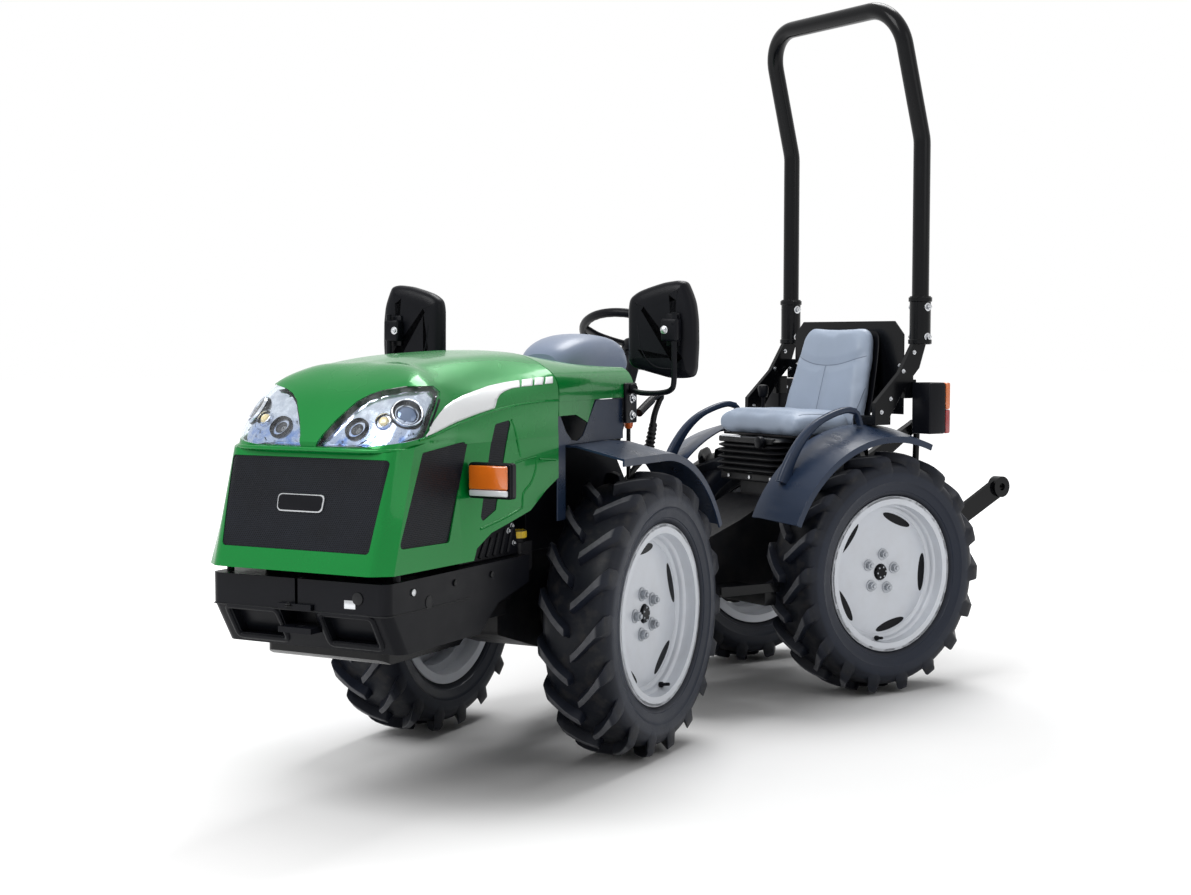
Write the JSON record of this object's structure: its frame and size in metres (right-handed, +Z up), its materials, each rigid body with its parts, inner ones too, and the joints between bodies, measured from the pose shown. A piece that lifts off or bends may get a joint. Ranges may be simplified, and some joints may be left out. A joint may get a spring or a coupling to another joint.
{
  "type": "articulated compact tractor",
  "caption": "Compact articulated tractor bent at its centre joint, with lugged tyres, opening hood, fixed roll bar, sprung seat and a raised rear three-point lift.",
  "frame": {"origin": "on the ground below the middle of the parked machine's bounding box", "axes": "+Z up; +Y to the rear along the rear unit, as the power take-off shaft points; +X to the tractor's left; the front unit is turned 29 degrees about the kingpin"},
  "size_m": [1.3472, 2.7714, 2.01],
  "materials": {
    "amber_lens": "clear amber",
    "bellows_rubber": "matte",
    "black_paint": "gloss black powder coat",
    "black_plastic": "fine-grained",
    "bright_steel": "ground steel",
    "casting_paint": "satin black paint on castings",
    "engine_iron": "dull",
    "fender_plastic": "dark blue-grey satin",
    "green_paint": "gloss green enamel",
    "grey_plastic": "satin grey",
    "lamp_chrome": "chromed bowl with dark lenses",
    "lamp_glass": "clear cover",
    "rim_silver": "silver-white paint",
    "seat_vinyl": "grey vinyl",
    "tyre_rubber": "matte rubber"
  },
  "bodies": {
    "rear_unit": {"rear_gearbox": "casting_paint", "rear_axle": "casting_paint", "lift_housing": "casting_paint", "pto_shaft": "bright_steel", "drawbar": "black_paint", "rops_frame": "black_paint", "rops_hoop": "black_paint", "rear_panel": "black_paint", "rear_fenders": "fender_plastic", "grab_handles": "black_paint", "seat_suspension": "bellows_rubber", "seat_pan": "black_paint", "seat_cushion": "seat_vinyl", "seat_backrest": "seat_vinyl", "tail_lamps": "black_plastic", "footplates": "black_paint", "rear_levers": "black_plastic"},
    "lift_arm_set": {"lift_arms": "black_paint"},
    "lift_rod_set": {"lift_rods": "black_paint"},
    "lower_link_set": {"lower_links": "black_paint"},
    "center_joint": {"center_yoke": "casting_paint"},
    "ram_barrel": {"steering_cylinder": "black_paint"},
    "ram_rod": {"steering_rod": "bright_steel"},
    "front_unit": {"front_frame": "casting_paint", "front_axle": "casting_paint", "engine_block": "engine_iron", "radiator": "black_plastic", "side_tank": "engine_iron", "bumper": "black_plastic", "skid_beam": "black_paint", "cowl": "green_paint", "dash": "black_plastic", "instrument_pod": "grey_plastic", "steering_column": "black_plastic", "mirror_heads": "black_plastic", "mirror_arms": "black_paint", "front_fenders": "fender_plastic", "front_levers": "black_plastic", "side_panels": "fender_plastic"},
    "hood": {"hood_shell": "green_paint", "hood_grilles": "black_plastic", "headlamps": "lamp_chrome", "lamp_covers": "lamp_glass", "indicators": "amber_lens"},
    "steering": {"steering_wheel": "black_plastic"},
    "wheel_rear_left": {"tyre_rear_left": "tyre_rubber", "rim_rear_left": "rim_silver"},
    "wheel_rear_right": {"tyre_rear_right": "tyre_rubber", "rim_rear_right": "rim_silver"},
    "wheel_front_left": {"tyre_front_left": "tyre_rubber", "rim_front_left": "rim_silver"},
    "wheel_front_right": {"tyre_front_right": "tyre_rubber", "rim_front_right": "rim_silver"}
  },
  "joints": [
    {"name": "center_roll", "type": "hinge", "parent": "rear_unit", "child": "center_joint", "pos_m": [-0.27857, 0.08288, 0.366], "axis": [0, 1, 0], "range_deg": [-12, 12]},
    {"name": "articulation", "type": "hinge", "parent": "center_joint", "child": "front_unit", "pos_m": [-0.27857, 0.08288, 0.366], "axis": [0, 0, 1], "range_deg": [-71, 13]},
    {"name": "ram_swing", "type": "hinge", "parent": "center_joint", "child": "ram_barrel", "pos_m": [-0.41357, 0.13788, 0.236], "axis": [0, 0, 1], "range_deg": [-61.06, 11.18]},
    {"name": "ram_slide", "type": "slide", "parent": "ram_barrel", "child": "ram_rod", "axis": [0.4437, -0.8962, 0], "range_m": [-0.1625, 0.0298]},
    {"name": "hood_hinge", "type": "hinge", "parent": "front_unit", "child": "hood", "pos_m": [0.15097, -0.69203, 1.003], "axis": [-0.8746, -0.4848, 0], "range_deg": [0, 50]},
    {"name": "steering_turn", "type": "hinge", "parent": "front_unit", "child": "steering", "pos_m": [-0.28827, 0.10037, 1.02], "axis": [-0.2424, 0.4373, 0.866], "range_deg": [-852, 156]},
    {"name": "lift_turn", "type": "hinge", "parent": "rear_unit", "child": "lift_arm_set", "pos_m": [-0.27857, 0.80288, 0.63], "axis": [1, 0, 0], "range_deg": [-55, 0]},
    {"name": "lower_link_turn", "type": "hinge", "parent": "rear_unit", "child": "lower_link_set", "pos_m": [-0.27857, 0.78288, 0.23], "axis": [1, 0, 0], "range_deg": [-55, 0]},
    {"name": "lift_rod_turn", "type": "hinge", "parent": "lift_arm_set", "child": "lift_rod_set", "pos_m": [-0.27857, 1.01939, 0.755], "axis": [1, 0, 0], "range_deg": [0, 55]},
    {"name": "spin_rear_left", "type": "hinge", "parent": "rear_unit", "child": "wheel_rear_left", "pos_m": [0.02643, 0.72288, 0.35], "axis": [1, 0, 0], "continuous": true},
    {"name": "spin_rear_right", "type": "hinge", "parent": "rear_unit", "child": "wheel_rear_right", "pos_m": [-0.58357, 0.72288, 0.35], "axis": [1, 0, 0], "continuous": true},
    {"name": "spin_front_left", "type": "hinge", "parent": "front_unit", "child": "wheel_front_left", "pos_m": [0.2815, -0.2984, 0.35], "axis": [0.8746, 0.4848, 0], "continuous": true},
    {"name": "spin_front_right", "type": "hinge", "parent": "front_unit", "child": "wheel_front_right", "pos_m": [-0.25202, -0.59413, 0.35], "axis": [0.8746, 0.4848, 0], "continuous": true}
  ],
  "couplings": [
    {"joint": "ram_swing", "follows": "articulation", "ratio": 0.86},
    {"joint": "ram_slide", "follows": "articulation", "m_per_rad": 0.131},
    {"joint": "steering_turn", "follows": "articulation", "ratio": 12},
    {"joint": "lower_link_turn", "follows": "lift_turn", "ratio": 1},
    {"joint": "lift_rod_turn", "follows": "lift_turn", "ratio": -1}
  ]
}
